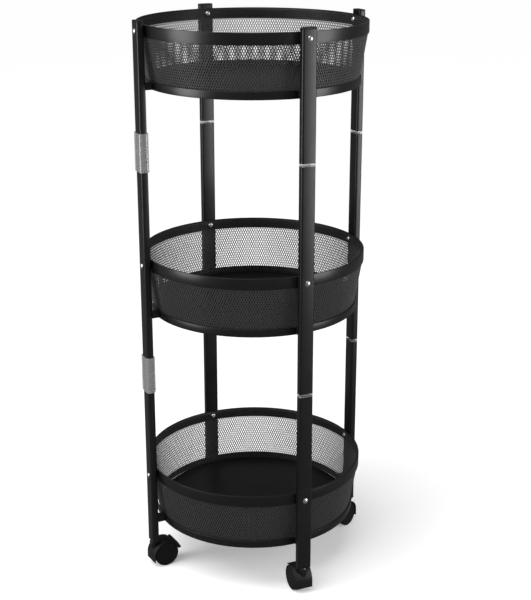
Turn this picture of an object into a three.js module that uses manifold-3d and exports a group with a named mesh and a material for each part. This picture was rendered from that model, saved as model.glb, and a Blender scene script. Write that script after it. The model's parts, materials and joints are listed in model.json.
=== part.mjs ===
// Round three-tier rolling cart: mesh baskets on four sectioned legs, each leg on a twin-wheel caster.
// Millimetres, +Z up, the origin on the floor under the middle of the cart, -Y is the front.
import * as THREE from "three";
import { mergeVertices } from "three/addons/utils/BufferGeometryUtils.js";
import Module from "manifold-3d";

const wasm = await Module();
wasm.setup();

// ---------------------------------------------------------------- driving dimensions
const GAP = 0.3; // clearance between two pieces that touch

// Baskets
const RIM_RADIUS = 170;
const RIM_HEIGHT = 17;
const RIM_SHEET = 1.4;
const BASKET_DEPTH = 91.8; // from the rim's top edge to the bottom band's lower edge
const BAND_RADIUS = 159.8;
const BAND_HEIGHT = 11.4;
const BAND_SHEET = 1.2;
const MESH_SHEET = 1;
const MESH_TAPER_RADIUS = 158.3; // the wall's outside at the bottom band's upper edge
const FLOOR_SHEET = 1.2;
const FLOOR_RAISE = 1.4; // the floor plate's underside above the band's lower edge
const LUG_WIDTH = 12;
const TOP_RIM_Z = 857;
const TIER_PITCH = 344;
const TIERS = ["bottom", "middle", "top"];
const ROUND_SIDES = 40;

// Legs: flat-sided oval tube, wide face outwards
const TUBE_WIDTH = 22.4;
const TUBE_DEPTH = 11;
const TUBE_CORNER = 3;
const TUBE_WALL = 1;
const LEG_INNER_FACE = 172.1; // from the cart's axis
const LEG_BOTTOM_Z = 44.5;
const LEG_TOP_Z = TOP_RIM_Z + 6.5;
const RING_HEIGHT = 4.4; // the part of a connector that shows between two tubes
const UPPER_RING_Z = 676.3;
const LOWER_RING_Z = UPPER_RING_Z - TIER_PITCH;
const PLUG_REACH = 26; // how far a connector goes into each tube
const SLEEVE_LENGTH = 57;
const SLEEVE_WALL = 1.4;
const CAP_LIP = 2;
const CAP_PLUG = 12;
const SCREW_DROP = 8.3; // screw centre below the rim's top edge
const SCREW_RADIUS = 2.6;

// Casters: the stem's axis is the swivel axis, and the axle trails behind it
const WHEEL_RADIUS = 20;
const WHEEL_OUTER_FACE = 13.4; // from the caster's middle plane
const WHEEL_INNER_FACE = 4.2;
const WHEEL_ROUND = 2;
const AXLE_RADIUS = 2.5;
const TRAIL = 17;
const HOOD_RADIUS = 22.7;
const HOOD_SHEET = 1.7;
const HOOD_HALF_WIDTH = 13.9;
const HOOD_FRONT_Z = 10; // the lower edge of the hood's front wall
const HOOD_END_ANGLE = 56; // degrees above the horizontal, on the trailing side
const WEB_HALF = 3.7;
const STEM_RADIUS = 2.4;
const COLLAR_RADIUS = 5;
const COLLAR_HEIGHT = 2.2;
const BOSS_TOP_RADIUS = 7.2;
const BOSS_FOOT_RADIUS = 3.4;
const BOSS_FOOT_Z = 26;
const STEM_FOOT_Z = 29;
const SOCKET_LENGTH = 30;
const LEVER_PIVOT_ANGLE = 47;
const LEVER_PIVOT_RADIUS = 23.2; // from the axle to the lever's pivot
const LEVER_EYE = 2.6;
const LEVER_PIN = 1.3;
const LEVER_LENGTH = 13.5;
const LEVER_HALF_WIDTH = 12.8;
const LEVER_TEETH = 4;
const LEVER_SLOPE = 57; // degrees below the horizontal
const LEVER_SPACE = 0.5; // between the wheels and the pressed lever

// Corner name, direction of the leg from -Y towards +X, and the way its caster trails, in degrees
const CORNERS = [
  { name: "front_left", leg: 315, trail: 140, brake: true, sleeves: true },
  { name: "front_right", leg: 45, trail: 222.5, brake: false, sleeves: false },
  { name: "back_right", leg: 135, trail: 343.2, brake: true, sleeves: false },
  { name: "back_left", leg: 225, trail: 100, brake: false, sleeves: false },
];

// ---------------------------------------------------------------- finishes
const finish = (color, roughness, metalness, opacity = 1) =>
  new THREE.MeshStandardMaterial({ color, roughness, metalness, opacity, transparent: opacity < 1 });
const blackPaint = finish(0x1a1a1b, 0.42, 0.35);
const blackMesh = finish(0x232324, 0.5, 0.4);
const blackPlastic = finish(0x1c1c1d, 0.55, 0);
const clearPlastic = finish(0xdfe3e4, 0.15, 0, 0.35);
const zinc = finish(0xc8cacc, 0.3, 1);

// ---------------------------------------------------------------- shape helpers
const radians = THREE.MathUtils.degToRad;

// A closed geometry as a manifold-3d solid, for cutting and joining.
function solid(geometry) {
  const bare = geometry.clone();
  bare.deleteAttribute("normal");
  bare.deleteAttribute("uv");
  const merged = mergeVertices(bare, 1e-4);
  return new wasm.Manifold(
    new wasm.Mesh({
      numProp: 3,
      vertProperties: merged.attributes.position.array,
      triVerts: new Uint32Array(merged.index.array),
    }),
  );
}

function geometryOf(body) {
  const mesh = body.getMesh();
  return new THREE.BufferGeometry()
    .setAttribute("position", new THREE.BufferAttribute(mesh.vertProperties, 3))
    .setIndex(new THREE.BufferAttribute(mesh.triVerts, 1));
}

// A rectangle with round corners, about the origin.
function roundedRectangle(width, depth, corner, path = new THREE.Shape()) {
  const x = width / 2 - corner;
  const y = depth / 2 - corner;
  path.moveTo(x, -y - corner);
  path.absarc(x, -y, corner, -Math.PI / 2, 0, false);
  path.absarc(x, y, corner, 0, Math.PI / 2, false);
  path.absarc(-x, y, corner, Math.PI / 2, Math.PI, false);
  path.absarc(-x, -y, corner, Math.PI, 1.5 * Math.PI, false);
  return path;
}

// A shape in X and Y pushed up from z = low to z = high.
function upright(shape, low, high, curveSegments = 1) {
  const geometry = new THREE.ExtrudeGeometry(shape, { depth: high - low, bevelEnabled: false, curveSegments });
  return geometry.translate(0, 0, low);
}

// A shape drawn in X and Z, pushed from y = low to y = high.
function sideways(shape, low, high, curveSegments = 4) {
  const geometry = new THREE.ExtrudeGeometry(shape, { depth: high - low, bevelEnabled: false, curveSegments });
  return geometry.rotateX(Math.PI / 2).translate(0, high, 0);
}

// A ring or disc about Z from a closed profile of [radius, height] points.
function turned(profile, sides) {
  const points = profile.map(([r, z]) => new THREE.Vector2(r, z));
  if (profile[0][0] > 0) points.push(points[0].clone());
  return new THREE.LatheGeometry(points, sides).rotateX(Math.PI / 2);
}

// A cylinder about Z, from z = low to z = high.
function rod(radius, low, high, sides = 10, topRadius = radius) {
  const geometry = new THREE.CylinderGeometry(topRadius, radius, high - low, sides);
  return geometry.rotateX(Math.PI / 2).translate(0, 0, (low + high) / 2);
}

// A cylinder along Y through (x, z).
function crossRod(radius, x, z, reach, sides = 10) {
  return new THREE.CylinderGeometry(radius, radius, 2 * reach, sides).translate(x, 0, z);
}

// A circle's point, in the caster's side view.
const onCircle = (x, z, radius, degrees) =>
  new THREE.Vector2(x + radius * Math.cos(radians(degrees)), z + radius * Math.sin(radians(degrees)));

function piece(name, geometry, material) {
  const mesh = new THREE.Mesh(geometry, material);
  mesh.name = name;
  return mesh;
}

// ---------------------------------------------------------------- baskets
// A band's section: a plain upright strip.
const strip = (outer, sheet, low, high) => [
  [outer - sheet, low],
  [outer, low],
  [outer, high],
  [outer - sheet, high],
];

const wallTopRadius = RIM_RADIUS - RIM_SHEET - GAP;
const wallSlope = (wallTopRadius - MESH_TAPER_RADIUS) / (BASKET_DEPTH - BAND_HEIGHT - RIM_HEIGHT);
const floorUnder = -BASKET_DEPTH + FLOOR_RAISE;
const floorTop = floorUnder + FLOOR_SHEET;
const wallFootRadius = wallTopRadius + wallSlope * (floorUnder + RIM_HEIGHT);
const floorRadius = wallFootRadius - MESH_SHEET - GAP;

// Heights in a basket count down from its rim's top edge.
function rimBand(screwHoles) {
  const ring = solid(turned(strip(RIM_RADIUS, RIM_SHEET, -RIM_HEIGHT, 0), ROUND_SIDES));
  return geometryOf(screwHoles.reduce((body, hole) => body.subtract(hole), ring));
}

// The wall is upright behind the rim band and tapers below it, down past the floor plate's edge.
function meshWall() {
  const outside = [
    [wallFootRadius, floorUnder],
    [wallTopRadius, -RIM_HEIGHT],
    [wallTopRadius, -1],
  ];
  const inside = outside.map(([r, z]) => [r - MESH_SHEET, z]).reverse();
  return turned([...outside, ...inside], ROUND_SIDES);
}

// The bottom band carries one stand-off lug for each leg.
function bottomBand() {
  const low = -BASKET_DEPTH;
  let band = solid(turned(strip(BAND_RADIUS, BAND_SHEET, low, low + BAND_HEIGHT), ROUND_SIDES));
  const start = BAND_RADIUS - 1;
  const length = LEG_INNER_FACE - GAP - start;
  for (const corner of CORNERS) {
    const lug = new THREE.BoxGeometry(LUG_WIDTH, length, BAND_HEIGHT - 1);
    lug.translate(0, -start - length / 2, low + BAND_HEIGHT / 2);
    band = band.add(solid(lug.rotateZ(radians(corner.leg))));
  }
  return geometryOf(band);
}

function floorPlate() {
  const profile = [
    [0, floorUnder],
    [floorRadius, floorUnder],
    [floorRadius, floorTop],
    [0, floorTop],
  ];
  return turned(profile, ROUND_SIDES);
}

function screwHole(corner) {
  const hole = new THREE.CylinderGeometry(SCREW_RADIUS, SCREW_RADIUS, 20, 8);
  hole.translate(0, -RIM_RADIUS, -SCREW_DROP);
  return solid(hole.rotateZ(radians(corner.leg)));
}

function basket(tier, rimZ) {
  const group = new THREE.Group();
  const holes = CORNERS.map(screwHole);
  group.add(
    piece(`${tier}_basket_rim_band`, rimBand(holes), blackPaint),
    piece(`${tier}_basket_mesh_wall`, meshWall(), blackMesh),
    piece(`${tier}_basket_bottom_band`, bottomBand(), blackPaint),
    piece(`${tier}_basket_floor_plate`, floorPlate(), blackPaint),
  );
  group.position.z = rimZ;
  return group;
}

// ---------------------------------------------------------------- legs
// A leg stands at the origin of its own group, with its outer face towards -Y.
const boreWidth = TUBE_WIDTH - 2 * TUBE_WALL;
const boreDepth = TUBE_DEPTH - 2 * TUBE_WALL;
const boreCorner = TUBE_CORNER - TUBE_WALL;

function tube(low, high, screwHeights) {
  const section = roundedRectangle(TUBE_WIDTH, TUBE_DEPTH, TUBE_CORNER);
  section.holes.push(roundedRectangle(boreWidth, boreDepth, boreCorner, new THREE.Path()));
  let body = solid(upright(section, low, high));
  for (const z of screwHeights) {
    body = body.subtract(solid(crossRod(SCREW_RADIUS, 0, z, TUBE_DEPTH, 8)));
  }
  return geometryOf(body);
}

// The shape that slides into a tube's bore.
const boreFill = (low, high) =>
  solid(upright(roundedRectangle(boreWidth - 2 * GAP, boreDepth - 2 * GAP, boreCorner), low, high));

function connector(z) {
  const ring = upright(roundedRectangle(TUBE_WIDTH + 0.6, TUBE_DEPTH + 0.6, TUBE_CORNER + 0.3), -RING_HEIGHT / 2,
    RING_HEIGHT / 2);
  const reach = RING_HEIGHT / 2 + PLUG_REACH;
  return geometryOf(boreFill(-reach, reach).add(solid(ring))).translate(0, 0, z);
}

function sleeve(z) {
  const space = 0.7; // to the tube's face, so that it passes over the ring
  const inner = roundedRectangle(TUBE_WIDTH + 2 * space, TUBE_DEPTH + 2 * space, TUBE_CORNER + space, new THREE.Path());
  const grow = space + SLEEVE_WALL;
  const section = roundedRectangle(TUBE_WIDTH + 2 * grow, TUBE_DEPTH + 2 * grow, TUBE_CORNER + grow);
  section.holes.push(inner);
  return upright(section, z - SLEEVE_LENGTH / 2, z + SLEEVE_LENGTH / 2);
}

function topCap() {
  const lip = upright(roundedRectangle(TUBE_WIDTH, TUBE_DEPTH, TUBE_CORNER), LEG_TOP_Z - CAP_LIP, LEG_TOP_Z);
  return geometryOf(boreFill(LEG_TOP_Z - CAP_LIP - CAP_PLUG, LEG_TOP_Z - CAP_LIP).add(solid(lip)));
}

// The insert in the leg's foot that holds the caster's stem.
function casterSocket() {
  const lip = upright(roundedRectangle(TUBE_WIDTH, TUBE_DEPTH, TUBE_CORNER), LEG_BOTTOM_Z, LEG_BOTTOM_Z + CAP_LIP);
  const body = boreFill(LEG_BOTTOM_Z + CAP_LIP, LEG_BOTTOM_Z + SOCKET_LENGTH).add(solid(lip));
  const bore = rod(STEM_RADIUS + GAP, LEG_BOTTOM_Z - 1, LEG_BOTTOM_Z + SOCKET_LENGTH + 1);
  return geometryOf(body.subtract(solid(bore)));
}

function leg(corner) {
  const group = new THREE.Group();
  const name = (part) => `${corner.name}_${part}`;
  const half = RING_HEIGHT / 2 + GAP;
  const screwAt = (tier) => TOP_RIM_Z - (TIERS.length - 1 - tier) * TIER_PITCH - SCREW_DROP;
  const ends = [
    ["lower", LEG_BOTTOM_Z + CAP_LIP + GAP, LOWER_RING_Z - half],
    ["middle", LOWER_RING_Z + half, UPPER_RING_Z - half],
    ["upper", UPPER_RING_Z + half, LEG_TOP_Z - CAP_LIP - GAP],
  ];
  ends.forEach(([part, low, high], tier) => {
    group.add(piece(name(`${part}_leg_tube`), tube(low, high, [screwAt(tier)]), blackPaint));
  });
  for (const [part, z] of [["lower", LOWER_RING_Z], ["upper", UPPER_RING_Z]]) {
    group.add(piece(name(`${part}_clear_connector`), connector(z), clearPlastic));
    if (corner.sleeves) group.add(piece(name(`${part}_clear_sleeve`), sleeve(z), clearPlastic));
  }
  group.add(
    piece(name("top_cap"), topCap(), blackPlastic),
    piece(name("caster_socket"), casterSocket(), blackPlastic),
    piece(name("caster_stem"), casterStem(), zinc),
  );
  return group;
}

// ---------------------------------------------------------------- casters
// A caster's own frame: the stem's axis is Z, the floor is z = 0, and it trails towards +X.
const collarTop = LEG_BOTTOM_Z - GAP;
const bossTop = collarTop - COLLAR_HEIGHT - GAP;
const axle = { x: TRAIL, z: WHEEL_RADIUS };
const pivot = onCircle(axle.x, axle.z, LEVER_PIVOT_RADIUS, LEVER_PIVOT_ANGLE);

function casterStem() {
  const pin = rod(STEM_RADIUS, STEM_FOOT_Z, LEG_BOTTOM_Z + SOCKET_LENGTH - 2);
  return geometryOf(solid(pin).add(solid(rod(COLLAR_RADIUS, collarTop - COLLAR_HEIGHT, collarTop, 12))));
}

// The cover over both wheels: an upright front wall that runs into an arc about the axle.
function hoodShell() {
  const inner = HOOD_RADIUS - HOOD_SHEET;
  const end = radians(HOOD_END_ANGLE);
  const shell = new THREE.Shape();
  shell.moveTo(axle.x - HOOD_RADIUS, HOOD_FRONT_Z);
  shell.lineTo(axle.x - inner, HOOD_FRONT_Z);
  shell.absarc(axle.x, axle.z, inner, Math.PI, end, true);
  shell.absarc(axle.x, axle.z, HOOD_RADIUS, end, Math.PI, false);
  return solid(sideways(shell, -HOOD_HALF_WIDTH, HOOD_HALF_WIDTH, 6));
}

// The web between the wheels carries the axle, and the lever's pivot on a braked caster.
function hoodWeb(brake) {
  const web = new THREE.Shape();
  const rim = HOOD_RADIUS - HOOD_SHEET / 2;
  web.moveTo(axle.x - rim, HOOD_FRONT_Z + 4);
  web.absarc(axle.x, axle.z, 7, 1.35 * Math.PI, 2 * Math.PI, false);
  web.absarc(axle.x, axle.z, rim, radians(brake ? LEVER_PIVOT_ANGLE - 4 : HOOD_END_ANGLE), Math.PI, false);
  let body = solid(sideways(web, -WEB_HALF, WEB_HALF));
  if (brake) body = body.add(solid(crossRod(LEVER_EYE, pivot.x, pivot.y, WEB_HALF)));
  return body;
}

function hood(brake) {
  const boss = rod(BOSS_FOOT_RADIUS, BOSS_FOOT_Z, bossTop, 12, BOSS_TOP_RADIUS);
  const wheelSpace = HOOD_RADIUS - HOOD_SHEET;
  let body = hoodShell().add(solid(boss));
  for (const side of [-1, 1]) {
    const space = new THREE.CylinderGeometry(wheelSpace, wheelSpace, 20, 24);
    space.translate(axle.x, side * (WEB_HALF + 10), axle.z);
    body = body.subtract(solid(space));
  }
  body = body.add(hoodWeb(brake));
  body = body.subtract(solid(rod(STEM_RADIUS + GAP, STEM_FOOT_Z - GAP, bossTop + 1)));
  body = body.subtract(solid(crossRod(AXLE_RADIUS + GAP, axle.x, axle.z, WEB_HALF + 1)));
  if (brake) body = body.subtract(solid(crossRod(LEVER_PIN + GAP, pivot.x, pivot.y, WEB_HALF + 1, 8)));
  return geometryOf(body);
}

// Both wheels and their axle turn as one.
function wheelPair() {
  const half = [
    [AXLE_RADIUS, WHEEL_INNER_FACE],
    [WHEEL_RADIUS - WHEEL_ROUND / 2, WHEEL_INNER_FACE],
    [WHEEL_RADIUS, WHEEL_INNER_FACE + WHEEL_ROUND / 2],
    [WHEEL_RADIUS, WHEEL_OUTER_FACE - WHEEL_ROUND],
    [WHEEL_RADIUS - WHEEL_ROUND, WHEEL_OUTER_FACE],
    [0, WHEEL_OUTER_FACE],
  ];
  const other = half.map(([r, y]) => [r, -y]).reverse();
  const pair = turned([...other, ...half], 20);
  return pair.rotateX(Math.PI / 2).translate(axle.x, 0, axle.z);
}

// The pressed brake lever: an eye on the hood's pivot and a toothed pad that follows the wheels down.
function brakeLever() {
  const slope = radians(-LEVER_SLOPE);
  const along = new THREE.Vector2(Math.cos(slope), Math.sin(slope));
  const out = new THREE.Vector2(-along.y, along.x);
  const at = (u, v) => pivot.clone().addScaledVector(along, u).addScaledVector(out, v);
  const pad = new THREE.Shape();
  const toothPitch = (LEVER_LENGTH - LEVER_EYE) / LEVER_TEETH;
  const outline = [45, 37, 29, 21, 14].map((a) => onCircle(axle.x, axle.z, WHEEL_RADIUS + LEVER_SPACE, a));
  outline.push(at(LEVER_LENGTH + 0.6, 1));
  for (let i = LEVER_TEETH; i > 0; i--) {
    const u = LEVER_EYE + i * toothPitch;
    outline.push(at(u - 0.1, 2.6), at(u - 0.5 * toothPitch, 2.6), at(u - 0.7 * toothPitch, 1.6), at(u - toothPitch, 1.6));
  }
  outline.push(at(0, 2.2));
  pad.setFromPoints(outline);
  let lever = solid(sideways(pad, -LEVER_HALF_WIDTH, LEVER_HALF_WIDTH));
  lever = lever.add(solid(crossRod(LEVER_EYE, pivot.x, pivot.y, LEVER_HALF_WIDTH)));
  const slot = new THREE.BoxGeometry(2 * (LEVER_EYE + 1), 2 * (WEB_HALF + GAP), 4 * LEVER_EYE);
  lever = lever.subtract(solid(slot.translate(pivot.x, 0, pivot.y)));
  return geometryOf(lever.add(solid(crossRod(LEVER_PIN, pivot.x, pivot.y, WEB_HALF + 1, 8))));
}

function caster(corner) {
  const group = new THREE.Group();
  const name = (part) => `${corner.name}_caster_${part}`;
  group.add(piece(name("hood"), hood(corner.brake), blackPlastic));
  group.add(piece(name("wheels"), wheelPair(), blackPlastic));
  if (corner.brake) group.add(piece(name("brake_lever"), brakeLever(), blackPlastic));
  group.rotation.z = radians(corner.trail - 90);
  return group;
}

// ---------------------------------------------------------------- the cart
const cart = new THREE.Group();
TIERS.forEach((tier, i) => {
  cart.add(basket(tier, TOP_RIM_Z - (TIERS.length - 1 - i) * TIER_PITCH));
});
const legRadius = LEG_INNER_FACE + TUBE_DEPTH / 2;
for (const corner of CORNERS) {
  const angle = radians(corner.leg);
  const foot = new THREE.Vector3(legRadius * Math.sin(angle), -legRadius * Math.cos(angle), 0);
  const legGroup = leg(corner);
  legGroup.rotation.z = angle;
  legGroup.position.copy(foot);
  const casterGroup = caster(corner);
  casterGroup.position.copy(foot);
  cart.add(legGroup, casterGroup);
}

export default cart;
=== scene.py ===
"""Round three-tier rolling cart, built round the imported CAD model. Metres, +Z up, -Y is the front."""

import json
import math

import bmesh
import bpy
from bpy.props import FloatProperty, FloatVectorProperty, IntProperty, PointerProperty
from mathutils import Matrix, Vector


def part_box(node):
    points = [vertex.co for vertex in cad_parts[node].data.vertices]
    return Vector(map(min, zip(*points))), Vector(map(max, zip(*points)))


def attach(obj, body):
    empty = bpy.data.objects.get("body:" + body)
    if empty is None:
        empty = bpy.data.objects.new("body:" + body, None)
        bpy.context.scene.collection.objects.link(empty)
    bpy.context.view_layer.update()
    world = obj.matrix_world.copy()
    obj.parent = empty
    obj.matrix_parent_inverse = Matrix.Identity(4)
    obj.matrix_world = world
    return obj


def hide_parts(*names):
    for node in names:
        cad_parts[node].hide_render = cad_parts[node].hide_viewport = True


bl_info = {
    "name": "Rolling Cart",
    "version": (1, 0, 0),
    "blender": (4, 5, 0),
    "location": "View3D > Sidebar > Cart",
    "description": "Builds a round three-tier rolling cart round its CAD frame",
    "category": "Object",
}

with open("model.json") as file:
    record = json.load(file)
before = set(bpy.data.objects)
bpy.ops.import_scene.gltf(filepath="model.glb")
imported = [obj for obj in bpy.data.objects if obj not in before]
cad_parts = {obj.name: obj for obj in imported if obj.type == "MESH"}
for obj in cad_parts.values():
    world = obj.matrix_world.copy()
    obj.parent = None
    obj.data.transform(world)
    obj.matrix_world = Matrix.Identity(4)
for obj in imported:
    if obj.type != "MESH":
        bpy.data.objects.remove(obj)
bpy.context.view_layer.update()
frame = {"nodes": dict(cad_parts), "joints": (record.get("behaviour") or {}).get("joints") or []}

MM = 0.001
TURN = 2 * math.pi
MERGE_DISTANCE = 1e-6
FIT = 0.3 * MM  # between a plug or a pin and what it sits in
STATIC_BODY = "cart_frame"
TIERS = ("bottom", "middle", "top")
JOINTS = {joint["name"]: joint for joint in frame["joints"]}
CORNERS = [name[: -len("_swivel")] for name in JOINTS if name.endswith("_swivel")]
BRAKED = [name[: -len("_brake_press")] for name in JOINTS if name.endswith("_brake_press")]
SLEEVED = [corner for corner in CORNERS if f"{corner}_lower_clear_sleeve" in frame["nodes"]]


# ---------------------------------------------------------------- settings a user would change
def length(name, description, default):
    """A length setting, in metres."""
    return FloatProperty(
        name=name, description=description, default=default, min=0.0, unit="LENGTH", precision=5
    )


def colour(name, description, default):
    """A colour setting."""
    return FloatVectorProperty(
        name=name, description=description, default=default, size=3, min=0.0, max=1.0, subtype="COLOR"
    )


def share(name, description, default):
    """A setting from 0 to 1."""
    return FloatProperty(
        name=name, description=description, default=default, min=0.0, max=1.0, subtype="FACTOR"
    )


def strength(name, description, default):
    """How strong a light is."""
    return FloatProperty(name=name, description=description, default=default, min=0.0)


def angle(name, description, default):
    """An angle setting, given here in degrees."""
    return FloatProperty(name=name, description=description, default=math.radians(default), subtype="ANGLE")


class CartBaskets(bpy.types.PropertyGroup):
    """Sizes of the three baskets."""

    steps: IntProperty(name="Round steps", description="Straight steps in each hoop", default=192, min=24)
    hoop_sheet: length("Rim sheet", "Thickness of the rim hoop", 1.4 * MM)
    hoop_lip: length("Rim lip", "How far the rim hoop folds in over the mesh", 2.6 * MM)
    band_sheet: length("Bottom band sheet", "Thickness of the bottom band", 1.2 * MM)
    edge_round: length("Edge rounding", "Radius on the edges of the sheet parts", 0.4 * MM)
    hole_pitch: length("Hole pitch", "Distance between holes round the basket", 3.9 * MM)
    hole_height: length("Hole height", "Height of one diamond, from knuckle to knuckle", 7.8 * MM)
    strand: length("Strand width", "Width of one strand of the mesh", 1.05 * MM)
    mesh_sheet: length("Mesh sheet", "Thickness of the expanded sheet", 0.6 * MM)
    lug_width: length("Lug width", "Width of the stand-off lugs", 12 * MM)


class CartLegs(bpy.types.PropertyGroup):
    """Sizes of the legs and their fasteners."""

    width: length("Tube width", "Width of the tube's outer face", 22.4 * MM)
    depth: length("Tube depth", "Depth of the tube", 11 * MM)
    corner: length("Tube corner", "Radius of the tube's corners", 3 * MM)
    wall: length("Tube wall", "Wall of the tube", 1.0 * MM)
    ring_height: length("Ring height", "Height of the clear ring between two tubes", 4.4 * MM)
    ring_groove: length("Ring groove", "Depth of the groove round the clear ring", 1.5 * MM)
    sleeve_space: length("Sleeve space", "Space between the tube and the sleeve", 0.7 * MM)
    sleeve_wall: length("Sleeve wall", "Wall of the clear sleeve", 1.4 * MM)
    cap_lip: length("Cap lip", "Height of a cap's lip", 2.0 * MM)
    screw_drop: length("Screw drop", "Screw centre below the rim's top edge", 8.3 * MM)
    head_radius: length("Head radius", "Radius of the screw and nut heads", 4.3 * MM)
    head_height: length("Head height", "Height of the screw and nut heads", 2.4 * MM)
    shank_radius: length("Shank radius", "Radius of the screw's shank", 2.2 * MM)


class CartCasters(bpy.types.PropertyGroup):
    """Sizes of the twin-wheel casters."""

    hood_radius: length("Hood radius", "Outside radius of the hood", 22.7 * MM)
    hood_sheet: length("Hood wall", "Wall of the hood", 1.7 * MM)
    hood_half_width: length("Hood half width", "Half the hood's width", 13.9 * MM)
    hood_front: length("Hood front", "Height of the front wall's lower edge", 10 * MM)
    hood_end: angle("Hood end", "Where the hood stops behind, above the horizontal", 56)
    web_half: length("Web half thickness", "Half the web between the wheels", 3.7 * MM)
    wheel_face: length("Wheel face", "Outer face of a wheel from the middle plane", 13.4 * MM)
    wheel_inner: length("Wheel inner face", "Inner face of a wheel from the middle plane", 4.2 * MM)
    wheel_round: length("Wheel rounding", "Radius of a wheel's shoulder", 2.0 * MM)
    axle_radius: length("Axle radius", "Radius of the axle", 2.5 * MM)
    boss_radius: length("Boss radius", "Radius of the stem's boss at its top", 7.2 * MM)
    boss_foot_radius: length("Boss foot radius", "Radius of the boss at its foot", 3.4 * MM)
    boss_foot: length("Boss foot", "Height of the boss's foot", 26 * MM)
    collar_radius: length("Collar radius", "Radius of the stem's collar", 5 * MM)
    collar_height: length("Collar height", "Height of the stem's collar", 2.2 * MM)
    stem_radius: length("Stem radius", "Radius of the stem", 2.4 * MM)
    lever_length: length("Lever length", "From the lever's pivot to its tip", 13.5 * MM)
    lever_half_width: length("Lever half width", "Half the lever's width", 12.8 * MM)
    lever_space: length("Lever space", "Between the wheels and the pressed lever", 0.5 * MM)
    lever_tip: angle("Lever tip", "Where the lever stops behind the wheels, above the horizontal", 14)
    lever_eye: length("Lever eye", "Radius of the lever's eye", 2.6 * MM)
    lever_slope: angle("Lever slope", "How far the lever slopes down behind the wheels", 57)


class CartFinishes(bpy.types.PropertyGroup):
    """Colours and roughness."""

    paint: colour("Paint", "Satin black powder coat", (0.0035, 0.0035, 0.0038))
    paint_roughness: share("Paint roughness", "Roughness of the powder coat", 0.32)
    # The mesh paint is the black powder coat made about nine times lighter: a painted sheen standing in for
    # the light the fine strands catch.
    mesh_paint: colour("Mesh paint", "Powder coat on the mesh", (0.03, 0.03, 0.031))
    plastic: colour("Plastic", "Black moulded plastic", (0.005, 0.005, 0.0053))
    plastic_roughness: share("Plastic roughness", "Roughness of the moulded plastic", 0.5)
    clear: colour("Clear plastic", "Tint of the clear rings and sleeves", (0.28, 0.28, 0.285))
    zinc: colour("Zinc", "Zinc plate on the fasteners and stems", (0.78, 0.79, 0.80))
    floor: colour("Floor", "The studio floor", (0.90, 0.90, 0.90))


class CartStudio(bpy.types.PropertyGroup):
    """The camera and the lights."""

    bearing: angle("Camera bearing", "From -Y towards +X", 20.08)
    distance: length("Camera distance", "From the cart's axis, along the floor", 1.879)
    height: length("Camera height", "Above the floor", 1.059)
    tilt: angle("Camera tilt", "Down from the horizontal", 18.65)
    turn: angle("Camera turn", "To the right of the cart's axis", 0.567)
    lens: FloatProperty(name="Lens", description="Focal length in millimetres", default=75.99, min=1.0)
    sky: strength("Sky", "Strength of the light from all round", 0.15)
    sun: strength("Overhead", "Strength of the broad light from above", 2.3)
    left_box: strength("Left box", "Power of the left softbox, in watts", 20)
    right_box: strength("Right box", "Power of the right softbox, in watts", 18)


# ---------------------------------------------------------------- shader nodes
class Wire:
    """A node's output that can stand in a sum: each operator adds its Math node."""

    def __init__(self, graph, socket):
        self.graph = graph
        self.socket = socket

    def maths(self, operation, first, second):
        """A Math node's result."""
        return self.graph.node("ShaderNodeMath", {"operation": operation}, {0: first, 1: second})

    def __add__(self, other):
        return self.maths("ADD", self, other)

    def __mul__(self, other):
        return self.maths("MULTIPLY", self, other)

    __radd__ = __add__
    __rmul__ = __mul__


class Graph:
    """The nodes of one material."""

    def __init__(self, name):
        self.material = bpy.data.materials.new(name)
        self.material.use_nodes = True
        self.tree = self.material.node_tree
        self.tree.nodes.clear()

    def node(self, kind, settings, values, output=0):
        """Adds a node: its settings first, then its sockets, each a value or a Wire."""
        made = self.tree.nodes.new(kind)
        for key, value in settings.items():
            setattr(made, key, value)
        for key, value in values.items():
            if isinstance(value, Wire):
                self.tree.links.new(value.socket, made.inputs[key])
            else:
                made.inputs[key].default_value = value
        return Wire(self, made.outputs[output]) if made.outputs else None

    def place(self):
        """The piece's own coordinates, in metres."""
        return self.node("ShaderNodeTexCoord", {}, {}, "Object")

    def noise(self, size, detail=2.0):
        """Noise whose lumps are about size metres across."""
        values = {"Vector": self.place(), "Scale": 1 / size, "Detail": detail}
        return self.node("ShaderNodeTexNoise", {}, values, "Fac")

    def blend(self, factor, first, second):
        """A colour between two."""
        return self.node("ShaderNodeMix", {"data_type": "RGBA"}, {0: factor, 6: first, 7: second}, 2)

    def bump(self, height, depth):
        """A normal from a height of 0 to 1 that stands depth metres high."""
        return self.node("ShaderNodeBump", {}, {"Height": height, "Distance": depth, "Strength": 1.0})

    def surface(self, values):
        """The shader and the output."""
        shader = self.node("ShaderNodeBsdfPrincipled", {}, values, "BSDF")
        self.node("ShaderNodeOutputMaterial", {}, {"Surface": shader})


def shade(tint, factor=1.0):
    """A colour as a socket takes it, made lighter or darker."""
    return (*[min(1.0, part * factor) for part in tint], 1.0)


def powder_coat(graph, finishes):
    """Satin powder coat: fine orange peel and a faint cloudiness in its sheen."""
    cloud = graph.noise(35 * MM)
    peel = graph.noise(0.9 * MM, 3.0)
    graph.surface(
        {
            "Base Color": graph.blend(cloud, shade(finishes.paint, 0.7), shade(finishes.paint, 1.5)),
            "Roughness": cloud * 0.10 + peel * 0.05 + (finishes.paint_roughness - 0.075),
            "Specular IOR Level": 0.5,
            "Normal": graph.bump(peel, 0.012 * MM),
        }
    )


def mesh_coat(graph, finishes):
    """The same coat on the thin strands, made lighter as a painted sheen for the light the strands catch;
    only its roughness varies from place to place.
    """
    cloud = graph.noise(12 * MM)
    graph.surface(
        {
            "Base Color": shade(finishes.mesh_paint),
            "Roughness": cloud * 0.16 + (finishes.paint_roughness - 0.04),
            "Specular IOR Level": 0.5,
        }
    )


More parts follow.
